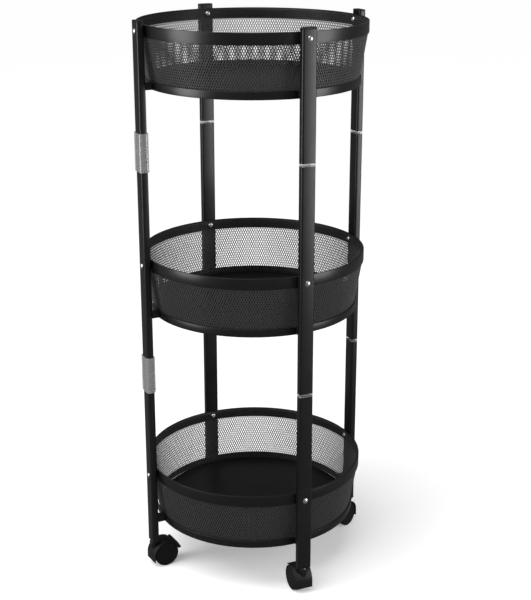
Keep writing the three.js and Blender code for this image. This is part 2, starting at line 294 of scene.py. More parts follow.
def moulded_plastic(graph, finishes):
    """Matt moulded plastic with a fine grain."""
    grain = graph.noise(0.35 * MM, 1.0)
    cloud = graph.noise(14 * MM)
    graph.surface(
        {
            "Base Color": graph.blend(cloud, shade(finishes.plastic, 0.8), shade(finishes.plastic, 1.3)),
            "Roughness": grain * 0.12 + cloud * 0.08 + (finishes.plastic_roughness - 0.1),
            "Specular IOR Level": 0.35,
            "Normal": graph.bump(grain, 0.006 * MM),
        }
    )


def wheel_plastic(graph, finishes):
    """Wheel plastic, a little smoother, with faint scuffs round the tread."""
    scuff = graph.noise(3 * MM, 4.0)
    graph.surface(
        {
            "Base Color": graph.blend(scuff, shade(finishes.plastic, 0.6), shade(finishes.plastic, 1.4)),
            "Roughness": scuff * 0.22 + (finishes.plastic_roughness - 0.16),
            "Specular IOR Level": 0.2,
            "Normal": graph.bump(scuff, 0.01 * MM),
        }
    )


def clear_plastic(graph, finishes):
    """Clear plastic, a little milky in places."""
    haze = graph.noise(5 * MM, 3.0)
    graph.surface(
        {
            "Base Color": shade(finishes.clear),
            "Roughness": haze * 0.08 + 0.08,
            "Alpha": haze * 0.14 + 0.46,
            "Specular IOR Level": 1.0,
            "Coat Weight": 1.0,
            "Coat Roughness": 0.05,
            "Coat IOR": 1.7,
        }
    )


def zinc_plate(graph, finishes):
    """Bright zinc plate, slightly cloudy."""
    cloud = graph.noise(2 * MM, 3.0)
    graph.surface(
        {
            "Base Color": graph.blend(cloud, shade(finishes.zinc, 0.85), shade(finishes.zinc)),
            "Metallic": 1.0,
            "Roughness": cloud * 0.16 + 0.22,
        }
    )


def studio_floor(graph, finishes):
    """Plain pale floor."""
    cloud = graph.noise(0.6)
    graph.surface(
        {
            "Base Color": graph.blend(cloud, shade(finishes.floor, 0.99), shade(finishes.floor)),
            "Roughness": 0.9,
            "Specular IOR Level": 0.1,
            "Emission Color": shade(finishes.floor),
            "Emission Strength": 0.3,
        }
    )


def finish(build):
    """The material that build makes, made once."""
    name = f"cart {build.__name__}"
    found = bpy.data.materials.get(name)
    if found:
        return found
    graph = Graph(name)
    build(graph, bpy.context.scene.cart_finishes)
    return graph.material


# ---------------------------------------------------------------- mesh helpers
def place_of_leg(corner):
    """A leg's own frame: its foot on the floor, its wide outer face towards -Y."""
    x, y, _ = JOINTS[f"{corner}_swivel"]["pos_m"]
    return Matrix.Translation((x, y, 0)) @ Matrix.Rotation(math.atan2(x, -y), 4, "Z")


def leg_radius():
    """From the cart's axis to the middle of a leg."""
    x, y, _ = JOINTS[f"{CORNERS[0]}_swivel"]["pos_m"]
    return math.hypot(x, y)


def place_of_caster(corner):
    """A caster's own frame: the stem's axis is Z, the floor is z = 0, and it trails towards +X."""
    stem = Vector(JOINTS[f"{corner}_swivel"]["pos_m"])
    trail = Vector(JOINTS[f"{corner}_roll"]["pos_m"]) - stem
    return Matrix.Translation((stem.x, stem.y, 0)) @ Matrix.Rotation(math.atan2(trail.y, trail.x), 4, "Z")


def axle_place(corner):
    """The axle's middle in the caster's own frame."""
    stem = Vector(JOINTS[f"{corner}_swivel"]["pos_m"])
    axle = Vector(JOINTS[f"{corner}_roll"]["pos_m"])
    return Vector((math.hypot(axle.x - stem.x, axle.y - stem.y), 0, axle.z))


def everything(bm):
    """All of a bmesh's vertices, edges and faces."""
    return bm.verts[:] + bm.edges[:] + bm.faces[:]


def verts_of(geom):
    """The vertices among what an operator gives back."""
    return [part for part in geom if isinstance(part, bmesh.types.BMVert)]


def bevel(bm, geom, offset, affect, segments):
    """Rounds vertices or edges."""
    bmesh.ops.bevel(
        bm,
        geom=geom,
        offset=offset,
        offset_type="OFFSET",
        affect=affect,
        segments=segments,
        profile=0.5,
        material=-1,
        clamp_overlap=affect == "EDGES",
    )


def full_turn(bm, geom, steps):
    """Spins a line once about Z and closes it on itself."""
    bmesh.ops.spin(
        bm, geom=geom, cent=(0, 0, 0), axis=(0, 0, 1), angle=TURN, steps=steps, use_merge=True
    )


def outline(bm, points, corner=0.0):
    """A closed outline of (x, z) points in the XZ plane with round corners. Gives its face."""
    verts = [bm.verts.new((x, 0, z)) for x, z in points]
    face = bm.faces.new(verts)
    if corner:
        bevel(bm, verts, corner, "VERTICES", 3)
        face = bm.faces[:][-1]
    return face


def turned(bm, face, steps):
    """Turns an outline about Z into a closed ring."""
    edges = list(face.edges)
    verts = list(face.verts)
    bmesh.ops.delete(bm, geom=[face], context="FACES_ONLY")
    full_turn(bm, verts + edges, steps)


def turned_solid(bm, points, steps):
    """Turns an open line of (radius, height) points, which starts and ends on the axis, about Z."""
    verts = [bm.verts.new((x, 0, z)) for x, z in points]
    edges = [bm.edges.new(pair) for pair in zip(verts, verts[1:])]
    full_turn(bm, verts + edges, steps)
    tidy(bm)


def tidy(bm):
    """Merges what touches and points every face outwards."""
    bmesh.ops.remove_doubles(bm, verts=bm.verts, dist=MERGE_DISTANCE)
    bmesh.ops.recalc_face_normals(bm, faces=bm.faces)


def soften(bm, width, segments=2, least=40):
    """Rounds every edge that turns by more than least degrees."""
    edges = [e for e in bm.edges if len(e.link_faces) == 2 and e.calc_face_angle() > math.radians(least)]
    bevel(bm, edges, width, "EDGES", segments)


def arc(centre, radius, start, end, steps):
    """Points on an arc, in degrees from the first axis."""
    angles = [math.radians(start + (end - start) * i / steps) for i in range(steps + 1)]
    return [(centre[0] + radius * math.cos(a), centre[1] + radius * math.sin(a)) for a in angles]


def oval_loop(bm, legs, grow, z):
    """One turn round the tube's section, grown outwards by grow, at height z."""
    made = bmesh.ops.create_grid(bm, x_segments=1, y_segments=1, size=0.5)["verts"]
    bmesh.ops.scale(bm, vec=(legs.width + 2 * grow, legs.depth + 2 * grow, 1), verts=made)
    bmesh.ops.translate(bm, vec=(0, 0, z), verts=made)
    before = set(bm.faces) - set(made[0].link_faces)
    bevel(bm, made, legs.corner + grow, "VERTICES", 7)
    face = (set(bm.faces) - before).pop()
    edges = list(face.edges)
    bmesh.ops.delete(bm, geom=[face], context="FACES_ONLY")
    return edges


def stack(legs, layers, hollow=False):
    """Joins turns round the tube's section, each a height and how far it grows, into a closed solid."""
    bm = bmesh.new()
    loops = [oval_loop(bm, legs, grow, z) for z, grow in layers]
    ahead = loops[1:] + (loops[:1] if hollow else [])
    for first, second in zip(loops, ahead):
        bmesh.ops.bridge_loops(bm, edges=first + second)
    if not hollow:
        for end in (loops[0], loops[-1]):
            bmesh.ops.contextual_create(bm, geom=end)
    tidy(bm)
    return bm


def combine(parts):
    """Joins or cuts closed bmeshes, each given with its operation, and gives back one."""
    objects = []
    for bm, _ in parts:
        tidy(bm)
        mesh = bpy.data.meshes.new("part")
        bm.to_mesh(mesh)
        bm.free()
        made = bpy.data.objects.new("part", mesh)
        bpy.context.scene.collection.objects.link(made)
        objects.append(made)
    base = objects[0]
    for other, (_, operation) in zip(objects[1:], parts[1:]):
        step = base.modifiers.new(operation, "BOOLEAN")
        step.operation = operation
        step.solver = "EXACT"
        step.object = other
    mesh = bpy.data.meshes.new_from_object(base.evaluated_get(bpy.context.evaluated_depsgraph_get()))
    joined = bmesh.new()
    joined.from_mesh(mesh)
    for made in objects:
        own = made.data
        bpy.data.objects.remove(made)
        bpy.data.meshes.remove(own)
    bpy.data.meshes.remove(mesh)
    return joined


def piece(bm, name, build, body, replaced=(), place=None, smooth=32):
    """Makes the object: in place, smooth but for its sharp edges, with its finish, on its body."""
    if place:
        bmesh.ops.transform(bm, matrix=place, verts=bm.verts)
    tidy(bm)
    mesh = bpy.data.meshes.new(name)
    bm.to_mesh(mesh)
    bm.free()
    mesh.shade_smooth()
    mesh.set_sharp_from_angle(angle=math.radians(smooth))
    mesh.materials.append(finish(build))
    made = bpy.data.objects.new(name, mesh)
    bpy.context.scene.collection.objects.link(made)
    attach(made, body)
    if replaced:
        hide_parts(*replaced)
    return made


def leg_piece(bm, corner, name, build, node):
    """A piece made in its leg's own frame, on the body that stands still."""
    place = place_of_leg(corner)
    return piece(bm, f"{corner}_{name}", build, STATIC_BODY, [f"{corner}_{node}"], place)


def caster_piece(bm, corner, name, build, body, node, smooth=32):
    """A piece made in its caster's own frame, on one of the caster's moving bodies."""
    place = place_of_caster(corner)
    replaced = [f"{corner}_{node}"]
    return piece(bm, f"{corner}_{name}", build, f"{corner}_{body}", replaced, place, smooth)


def box_solid(size, centre):
    """A block of that size about centre."""
    bm = bmesh.new()
    bmesh.ops.create_cube(bm, size=1.0)
    bmesh.ops.scale(bm, vec=size, verts=bm.verts)
    bmesh.ops.translate(bm, vec=centre, verts=bm.verts)
    return bm


def cross_rod(radius, reach, centre, steps=24):
    """A rod along Y through centre."""
    bm = bmesh.new()
    bmesh.ops.create_cone(
        bm,
        cap_ends=True,
        segments=steps,
        radius1=radius,
        radius2=radius,
        depth=2 * reach,
        matrix=Matrix.Translation(centre) @ Matrix.Rotation(math.radians(90), 4, "X"),
    )
    return bm


# ---------------------------------------------------------------- baskets
class CART_OT_rim_hoops(bpy.types.Operator):
    """Makes the flat hoop round the top of each basket, folded in over the mesh"""

    bl_idname = "cart.rim_hoops"
    bl_label = "Rim hoops"

    def execute(self, context):
        sizes = context.scene.cart_baskets
        for tier in TIERS:
            node = f"{tier}_basket_rim_band"
            low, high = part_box(node)
            outer = high.x
            inner = outer - sizes.hoop_sheet
            lip = outer - sizes.hoop_lip
            lip_sheet = sizes.hoop_sheet * 0.6
            under = high.z - lip_sheet
            section = [
                (inner, low.z),
                (outer, low.z),
                (outer, high.z),
                (lip, high.z),
                (lip, under),
                (inner, under),
            ]
            bm = bmesh.new()
            turned(bm, outline(bm, section, sizes.edge_round * 0.6), sizes.steps)
            piece(bm, f"{tier}_rim_hoop", powder_coat, STATIC_BODY, [node])
        return {"FINISHED"}


class CART_OT_mesh_walls(bpy.types.Operator):
    """Makes the expanded metal wall of each basket, one diamond at a time"""

    bl_idname = "cart.mesh_walls"
    bl_label = "Mesh walls"

    def strip(self, sizes, height):
        """Two staggered columns of diamonds, flat in the XZ plane, cut off at z = 0 and z = -height."""
        bm = bmesh.new()
        bmesh.ops.create_circle(bm, cap_ends=True, radius=0.5, segments=4)
        upright = Matrix.Rotation(math.radians(90), 3, "X")
        bmesh.ops.rotate(bm, cent=(0, 0, 0), matrix=upright, verts=bm.verts)
        bmesh.ops.scale(bm, vec=(sizes.hole_pitch, 1, sizes.hole_height), verts=bm.verts)
        hole = bm.faces[:][0]
        bmesh.ops.inset_individual(bm, faces=[hole], thickness=sizes.strand / 2, use_even_offset=True)
        bmesh.ops.delete(bm, geom=[hole], context="FACES_ONLY")
        diamond = everything(bm)
        rows = math.ceil(height / sizes.hole_height) + 1
        for row in range(rows):
            for column in range(2):
                if row or column:
                    copy = bmesh.ops.duplicate(bm, geom=diamond)["geom"]
                    shift = (column * sizes.hole_pitch / 2, 0, -(row + column / 2) * sizes.hole_height)
                    bmesh.ops.translate(bm, vec=shift, verts=verts_of(copy))
        for z, side in ((0, 1), (-height, -1)):
            bmesh.ops.bisect_plane(
                bm, geom=everything(bm), plane_co=(0, 0, z), plane_no=(0, 0, side), clear_outer=True
            )
        return bm

    def execute(self, context):
        sizes = context.scene.cart_baskets
        for tier in TIERS:
            node = f"{tier}_basket_mesh_wall"
            low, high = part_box(node)
            rim_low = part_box(f"{tier}_basket_rim_band")[0].z
            top_radius = high.x - sizes.mesh_sheet / 2
            foot_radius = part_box(f"{tier}_basket_floor_plate")[1].x + sizes.mesh_sheet
            bm = self.strip(sizes, high.z - low.z)
            columns = round(TURN * high.x / sizes.hole_pitch)
            for vert in bm.verts:
                z = high.z + vert.co.z
                fall = min(1.0, max(0.0, (rim_low - z) / (rim_low - low.z)))
                radius = top_radius + (foot_radius - top_radius) * fall
                around = TURN * vert.co.x / sizes.hole_pitch / columns
                vert.co = (radius * math.sin(around), -radius * math.cos(around), z)
            bmesh.ops.spin(
                bm,
                geom=everything(bm),
                cent=(0, 0, 0),
                axis=(0, 0, 1),
                angle=TURN * (columns - 1) / columns,
                steps=columns - 1,
                use_duplicate=True,
            )
            wall = piece(bm, f"{tier}_expanded_mesh", mesh_coat, STATIC_BODY, [node])
            thicken = wall.modifiers.new("Sheet", "SOLIDIFY")
            thicken.thickness = sizes.mesh_sheet
            thicken.offset = 0
        return {"FINISHED"}


class CART_OT_bottom_bands(bpy.types.Operator):
    """Makes the band round the foot of each basket, with a stand-off lug for each leg"""

    bl_idname = "cart.bottom_bands"
    bl_label = "Bottom bands"

    def execute(self, context):
        sizes = context.scene.cart_baskets
        depth = context.scene.cart_legs.depth
        inset = 0.5 * MM  # the lug stops this far from each edge of the band
        for tier in TIERS:
            node = f"{tier}_basket_bottom_band"
            low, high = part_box(node)
            outer = high.x
            section = [
                (outer - sizes.band_sheet, low.z),
                (outer, low.z),
                (outer, high.z),
                (outer - sizes.band_sheet, high.z),
            ]
            ring = bmesh.new()
            turned(ring, outline(ring, section, sizes.edge_round * 0.8), sizes.steps)
            parts = [(ring, "UNION")]
            start = outer - sizes.band_sheet * 0.7
            end = leg_radius() - depth / 2
            for corner in CORNERS:
                x, y, _ = JOINTS[f"{corner}_swivel"]["pos_m"]
                size = (sizes.lug_width, end - start, high.z - low.z - 2 * inset)
                lug = box_solid(size, (0, -(start + end) / 2, (low.z + high.z) / 2))
                soften(lug, sizes.edge_round * 1.5)
                turn = Matrix.Rotation(math.atan2(x, -y), 3, "Z")
                bmesh.ops.rotate(lug, cent=(0, 0, 0), matrix=turn, verts=lug.verts)
                parts.append((lug, "UNION"))
            piece(combine(parts), f"{tier}_bottom_hoop", powder_coat, STATIC_BODY, [node])
        return {"FINISHED"}


class CART_OT_floor_plates(bpy.types.Operator):
    """Makes the sheet that each basket stands things on"""

    bl_idname = "cart.floor_plates"
    bl_label = "Floor plates"

    def execute(self, context):
        sizes = context.scene.cart_baskets
        for tier in TIERS:
            node = f"{tier}_basket_floor_plate"
            low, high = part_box(node)
            edge = (high.z - low.z) / 2
            rim = arc((high.x - edge, (low.z + high.z) / 2), edge, -90, 90, 6)
            bm = bmesh.new()
            turned_solid(bm, [(0, low.z), *rim, (0, high.z)], sizes.steps)
            piece(bm, f"{tier}_floor_sheet", powder_coat, STATIC_BODY, [node])
        return {"FINISHED"}


# ---------------------------------------------------------------- legs
class CART_OT_leg_tubes(bpy.types.Operator):
    """Makes the three tubes of each leg"""

    bl_idname = "cart.leg_tubes"
    bl_label = "Leg tubes"

    def execute(self, context):
        legs = context.scene.cart_legs
        edge = 0.3 * MM
        for corner in CORNERS:
            for part in ("lower", "middle", "upper"):
                low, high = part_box(f"{corner}_{part}_leg_tube")
                layers = [
                    (low.z + edge, 0),
                    (high.z - edge, 0),
                    (high.z, -edge),
                    (high.z, -legs.wall),
                    (low.z, -legs.wall),
                    (low.z, -edge),
                ]
                bm = stack(legs, layers, hollow=True)
                leg_piece(bm, corner, f"{part}_tube", powder_coat, f"{part}_leg_tube")
        return {"FINISHED"}


class CART_OT_clear_connectors(bpy.types.Operator):
    """Makes the clear plugs whose grooved ring shows between two tubes"""

    bl_idname = "cart.clear_connectors"
    bl_label = "Clear connectors"

    def execute(self, context):
        legs = context.scene.cart_legs
        plug = -legs.wall - FIT
        flange = 0.3 * MM
        edge = 0.25 * MM
        taper = 1 * MM
        for corner in CORNERS:
            for part in ("lower", "upper"):
                node = f"{part}_clear_connector"
                low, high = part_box(f"{corner}_{node}")
                middle = (low.z + high.z) / 2
                half = legs.ring_height / 2
                lip = half * 0.36
                upper_half = [
                    (lip * 0.5, flange - legs.ring_groove),
                    (half - lip * 1.6, flange - edge),
                    (half - lip * 1.2, flange),
                    (half - edge, flange),
                    (half, flange - edge),
                    (half, plug),
                    (high.z - middle - taper, plug),
                    (high.z - middle, plug - taper),
                ]
                layers = [(middle - z, grow) for z, grow in reversed(upper_half)]
                layers += [(middle + z, grow) for z, grow in upper_half]
                ring = stack(legs, layers)
                leg_piece(ring, corner, f"{part}_joint_ring", clear_plastic, node)
        return {"FINISHED"}


class CART_OT_clear_sleeves(bpy.types.Operator):
    """Makes the clear sleeves round one leg's joints"""

    bl_idname = "cart.clear_sleeves"
    bl_label = "Clear sleeves"

    def execute(self, context):
        legs = context.scene.cart_legs
        inner = legs.sleeve_space
        outer = inner + legs.sleeve_wall
        edge = 0.4 * MM
        for corner in SLEEVED:
            for part in ("lower", "upper"):
                node = f"{part}_clear_sleeve"
                low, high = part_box(f"{corner}_{node}")
                layers = [
                    (low.z + edge, outer),
                    (high.z - edge, outer),
                    (high.z, outer - edge),
                    (high.z, inner + edge),
                    (high.z - edge, inner),
                    (low.z + edge, inner),
                    (low.z, inner + edge),
                    (low.z, outer - edge),
                ]
                sleeve = stack(legs, layers, hollow=True)
                leg_piece(sleeve, corner, f"{part}_sleeve", clear_plastic, node)
        return {"FINISHED"}


class CART_OT_leg_ends(bpy.types.Operator):
    """Makes each leg's top cap and the socket in its foot"""

    bl_idname = "cart.leg_ends"
    bl_label = "Top caps and caster sockets"

    def execute(self, context):
        legs = context.scene.cart_legs
        plug = -legs.wall - FIT
        edge = 0.7 * MM
        taper = 0.5 * MM
        for corner in CORNERS:
            low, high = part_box(f"{corner}_top_cap")
            layers = [
                (low.z, plug - taper),
                (low.z + 2 * taper, plug),
                (high.z - legs.cap_lip, plug),
                (high.z - legs.cap_lip, 0),
                (high.z - edge, 0),
                (high.z - edge * 0.3, -edge * 0.3),
                (high.z, -edge),
            ]
            cap = stack(legs, layers)
            leg_piece(cap, corner, "cap", moulded_plastic, "top_cap")
            low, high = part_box(f"{corner}_caster_socket")
            layers = [
                (low.z, -edge),
                (low.z + edge * 0.3, -edge * 0.3),
                (low.z + edge, 0),
                (low.z + legs.cap_lip, 0),
                (low.z + legs.cap_lip, plug),
                (high.z, plug),
            ]
            socket = stack(legs, layers)
            leg_piece(socket, corner, "socket", moulded_plastic, "caster_socket")
        return {"FINISHED"}


# ---------------------------------------------------------------- fasteners
class CART_OT_rim_fasteners(bpy.types.Operator):
    """Makes the screw, domed nut and washer that hold each rim to each leg"""

    bl_idname = "cart.rim_fasteners"
    bl_label = "Screws, nuts and washers"

    def cross_head(self, legs, shank):
        """A domed head with a cross recess, pointing up, on a shank that reaches down by shank."""
        bm = bmesh.new()
        radius, height = legs.head_radius, legs.head_height
        reach, slot = 0.55 * radius, 0.14 * radius
        bmesh.ops.create_grid(bm, x_segments=3, y_segments=3, size=reach)
        for vert in bm.verts:
            for axis in range(2):
                if abs(vert.co[axis]) < reach * 0.5:
                    vert.co[axis] = math.copysign(slot, vert.co[axis])
            vert.co.z = height * (1 - 0.5 * (vert.co.length / radius) ** 2)
        cross = [f for f in bm.faces if min(abs(f.calc_center_median()[i]) for i in (0, 1)) < slot]
        rim = [e for e in bm.edges if e.is_boundary]
        rings = ((0.84, 0.62), (0.98, 0.28), (1.0, 0.06), (1.0, 0.0))
        for out, up in rings:
            rim = self.ring(bm, rim, radius * out, height * up)
        for out, down in ((legs.shank_radius, 0), (legs.shank_radius, 0.2 * MM), (legs.shank_radius, shank)):
            rim = self.ring(bm, rim, out, -down)
        bmesh.ops.contextual_create(bm, geom=rim)
        bmesh.ops.inset_region(bm, faces=cross, thickness=0.03 * radius)
        deeper = bmesh.ops.extrude_face_region(bm, geom=cross)["geom"]
        floor = verts_of(deeper)
        bmesh.ops.translate(bm, vec=(0, 0, -0.6 * height), verts=floor)
        bmesh.ops.scale(bm, vec=(0.8, 0.8, 1), verts=floor)
        bmesh.ops.delete(bm, geom=cross, context="FACES_ONLY")
        return bm

    def ring(self, bm, rim, radius, z):
        """Runs the open edge on to a circle. Gives the new open edge."""
        made = bmesh.ops.extrude_edge_only(bm, edges=rim)["geom"]
        for vert in verts_of(made):
            flat = Vector((vert.co.x, vert.co.y, 0)).normalized() * radius
            vert.co = (flat.x, flat.y, z)
        return [e for e in made if isinstance(e, bmesh.types.BMEdge)]

    def domed_nut(self, legs):
        """A domed head, pointing up."""
        bm = bmesh.new()
        radius, height = legs.head_radius, legs.head_height
        land = 0.25 * height
        ball = (radius**2 + (height - land) ** 2) / (2 * (height - land))
        opening = math.degrees(math.asin(radius / ball))
        dome = arc((0, height - ball), ball, 90 - opening, 90, 10)
        turned_solid(bm, [(0, 0), (radius * 0.97, 0), (radius, 0.1 * height), *dome], 40)
        return bm

    def washer(self, inner, outer, thickness):
        """A flat ring of that thickness, from z = 0 up."""
        bm = bmesh.new()
        section = [(inner, 0), (outer, 0), (outer, thickness), (inner, thickness)]
        turned(bm, outline(bm, section, thickness * 0.15), 32)
        return bm

    def execute(self, context):
        legs = context.scene.cart_legs
        sheet = context.scene.cart_baskets.mesh_sheet
        outwards = Matrix.Rotation(math.radians(90), 4, "X")
        inwards = Matrix.Rotation(math.radians(-90), 4, "X")
        gap = 0.05 * MM
        for tier in TIERS:
            rim_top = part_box(f"{tier}_basket_rim_band")[1]
            screw_z = rim_top.z - legs.screw_drop
            inside = leg_radius() - (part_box(f"{tier}_basket_mesh_wall")[1].x - sheet) + gap
            face = legs.depth / 2
            space = leg_radius() - face - rim_top.x
            shank = inside + face
            kinds = {
                "screws": (lambda: self.cross_head(legs, shank), (0, inside, screw_z), inwards),
                "nuts": (lambda: self.domed_nut(legs), (0, -face - gap, screw_z), outwards),
                "washers": (
                    lambda: self.washer(legs.shank_radius + gap, legs.head_radius * 1.1, space - 2 * gap),
                    (0, face + gap, screw_z),
                    inwards,
                ),
            }
            for kind, (make, centre, turn) in kinds.items():
                together = bmesh.new()
                for corner in CORNERS:
                    one = make()
                    place = place_of_leg(corner) @ Matrix.Translation(centre) @ turn
                    bmesh.ops.transform(one, matrix=place, verts=one.verts)
                    bmesh.ops.recalc_face_normals(one, faces=one.faces)
                    mesh = bpy.data.meshes.new(kind)
                    one.to_mesh(mesh)
                    one.free()
                    together.from_mesh(mesh)
                    bpy.data.meshes.remove(mesh)
                metal = kind != "washers"
                made = piece(
                    together,
                    f"{tier}_rim_{kind}",
                    zinc_plate if metal else moulded_plastic,
                    STATIC_BODY,
                )
                if kind == "screws":
                    rounder = made.modifiers.new("Round", "SUBSURF")
                    rounder.levels = rounder.render_levels = 2
        return {"FINISHED"}


# ---------------------------------------------------------------- casters
class CART_OT_caster_stems(bpy.types.Operator):
    """Makes the steel stem and collar that each caster swivels on"""

    bl_idname = "cart.caster_stems"
    bl_label = "Caster stems"

    def execute(self, context):
        sizes = context.scene.cart_casters
        for corner in CORNERS:
            low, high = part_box(f"{corner}_caster_stem")
            collar_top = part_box(f"{corner}_caster_socket")[0].z - FIT
            collar_low = collar_top - sizes.collar_height
            edge = 0.35 * MM
            points = [
                (0, low.z),
                (sizes.stem_radius - edge, low.z),
                (sizes.stem_radius, low.z + edge),
                (sizes.stem_radius, collar_low),
                (sizes.collar_radius - edge, collar_low),
                (sizes.collar_radius, collar_low + edge),
                (sizes.collar_radius, collar_top - edge),
                (sizes.collar_radius - edge, collar_top),
                (sizes.stem_radius, collar_top),
                (sizes.stem_radius, high.z - edge),
                (sizes.stem_radius - edge, high.z),
                (0, high.z),
            ]
            bm = bmesh.new()
            turned_solid(bm, points, 40)
            leg_piece(bm, corner, "stem", zinc_plate, "caster_stem")
        return {"FINISHED"}


class CART_OT_caster_hoods(bpy.types.Operator):
    """Makes the hood over each pair of wheels, with its web and the stem's boss"""

    bl_idname = "cart.caster_hoods"
    bl_label = "Caster hoods"

    def shell(self, sizes, axle):
        """The curved cover: an arc about the axle that runs down into an upright front wall."""
        bm = bmesh.new()
        bmesh.ops.create_grid(bm, x_segments=1, y_segments=1, size=0.5)
        bmesh.ops.scale(bm, vec=(sizes.hood_sheet, 2 * sizes.hood_half_width, 1), verts=bm.verts)
        bmesh.ops.translate(bm, vec=(sizes.hood_radius - sizes.hood_sheet / 2, 0, 0), verts=bm.verts)
        bmesh.ops.rotate(bm, cent=(0, 0, 0), matrix=Matrix.Rotation(-sizes.hood_end, 3, "Y"), verts=bm.verts)
        start = bm.faces[:]
        swept = bmesh.ops.spin(
            bm,
            geom=start,
            cent=(0, 0, 0),
            axis=(0, 1, 0),
            angle=-(math.pi - sizes.hood_end),
            steps=28,
        )["geom_last"]
        last = [part for part in swept if isinstance(part, bmesh.types.BMFace)]
        front = bmesh.ops.extrude_face_region(bm, geom=last)["geom"]
        bmesh.ops.translate(bm, vec=(0, 0, sizes.hood_front - axle.z), verts=verts_of(front))
        inside = [f for f in bm.faces if all(len(e.link_faces) > 2 for e in f.edges)]
        bmesh.ops.delete(bm, geom=inside, context="FACES_ONLY")
        tidy(bm)
        soften(bm, 0.5 * MM, 3)
        bmesh.ops.translate(bm, vec=axle, verts=bm.verts)
        return bm

    def web(self, sizes, axle):
        """The plate between the wheels, with a hub round the axle."""
        bm = bmesh.new()
        bmesh.ops.create_grid(bm, x_segments=1, y_segments=1, size=0.5)
        inner = sizes.axle_radius + FIT
        outer = sizes.hood_radius - sizes.hood_sheet / 2
        behind = math.radians(2)
        ahead = math.radians(12)
        bmesh.ops.scale(bm, vec=(outer - inner, 2 * sizes.web_half, 1), verts=bm.verts)
        bmesh.ops.translate(bm, vec=((outer + inner) / 2, 0, 0), verts=bm.verts)
        start = Matrix.Rotation(-sizes.hood_end - behind, 3, "Y")
        bmesh.ops.rotate(bm, cent=(0, 0, 0), matrix=start, verts=bm.verts)
        bmesh.ops.spin(
            bm,
            geom=bm.faces[:],
            cent=(0, 0, 0),
            axis=(0, 1, 0),
            angle=-(math.pi - sizes.hood_end + ahead),
            steps=24,
        )
        bmesh.ops.translate(bm, vec=axle, verts=bm.verts)
        return bm

    def boss(self, sizes, top):
        """The cone under the stem's collar."""
        bm = bmesh.new()
        edge = 0.6 * MM
        points = [
            (0, sizes.boss_foot),
            (sizes.boss_foot_radius, sizes.boss_foot),
            (sizes.boss_radius, top - 2 * edge),
            (sizes.boss_radius, top - edge),
            (sizes.boss_radius - edge * 0.3, top - edge * 0.3),
            (sizes.boss_radius - edge, top),
            (0, top),
        ]
        turned_solid(bm, points, 40)
        return bm

    def execute(self, context):
        sizes = context.scene.cart_casters
        for corner in CORNERS:
            axle = axle_place(corner)
            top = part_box(f"{corner}_caster_hood")[1].z
            space = sizes.hood_radius - sizes.hood_sheet
            reach = 10 * MM  # half the length of the rod that clears the room for a wheel
            parts = [(self.shell(sizes, axle), "UNION"), (self.boss(sizes, top), "UNION")]
            for side in (-1, 1):
                centre = axle + Vector((0, side * (sizes.web_half + reach), 0))
                parts.append((cross_rod(space, reach, centre, 56), "DIFFERENCE"))
            parts.append((self.web(sizes, axle), "UNION"))
            if corner in BRAKED:
                pivot = place_of_caster(corner).inverted() @ Vector(JOINTS[f"{corner}_brake_press"]["pos_m"])
                parts.append((cross_rod(sizes.lever_eye, sizes.web_half, pivot), "UNION"))
            node = "caster_hood"
            hood = combine(parts)
            caster_piece(hood, corner, "hood", moulded_plastic, "caster", node, smooth=25)
        return {"FINISHED"}


class CART_OT_caster_wheels(bpy.types.Operator):
    """Makes each pair of wheels on its axle"""

    bl_idname = "cart.caster_wheels"
    bl_label = "Caster wheels"

    def execute(self, context):
        sizes = context.scene.cart_casters
        for corner in CORNERS:
            axle = axle_place(corner)
            radius = axle.z
            bend = (sizes.wheel_face - sizes.wheel_round, radius - sizes.wheel_round)
            shoulder = arc(bend, sizes.wheel_round, 0, 90, 6)
            cap = radius * 0.27
            # Radius and depth below the outer face: a hub cap, a dished disc and a groove.
            relief = [
                (0, 0.2 * MM),
                (cap - 0.4 * MM, 0.2 * MM),
                (cap, 0.6 * MM),
                (cap + 0.5 * MM, 0.6 * MM),
                (radius * 0.8, 0.35 * MM),
                (radius * 0.82, 0.7 * MM),
                (radius * 0.85, 0.7 * MM),
                (radius * 0.87, 0),
            ]
            half = [
                *[(r, sizes.wheel_face - depth) for r, depth in relief],
                *[(r, y) for y, r in shoulder],
                (radius, sizes.wheel_inner + 1 * MM),
                (radius - 0.3 * MM, sizes.wheel_inner + 0.3 * MM),
                (radius - 1 * MM, sizes.wheel_inner),
                (sizes.axle_radius, sizes.wheel_inner),
            ]
            other = [(r, -y) for r, y in reversed(half)]
            bm = bmesh.new()
            turned_solid(bm, half + other, 72)
            lay_flat = Matrix.Translation(axle) @ Matrix.Rotation(math.radians(90), 4, "X")
            bmesh.ops.transform(bm, matrix=lay_flat, verts=bm.verts)
            node = "caster_wheels"
            caster_piece(bm, corner, "wheels", wheel_plastic, "wheels", node, smooth=30)
        return {"FINISHED"}


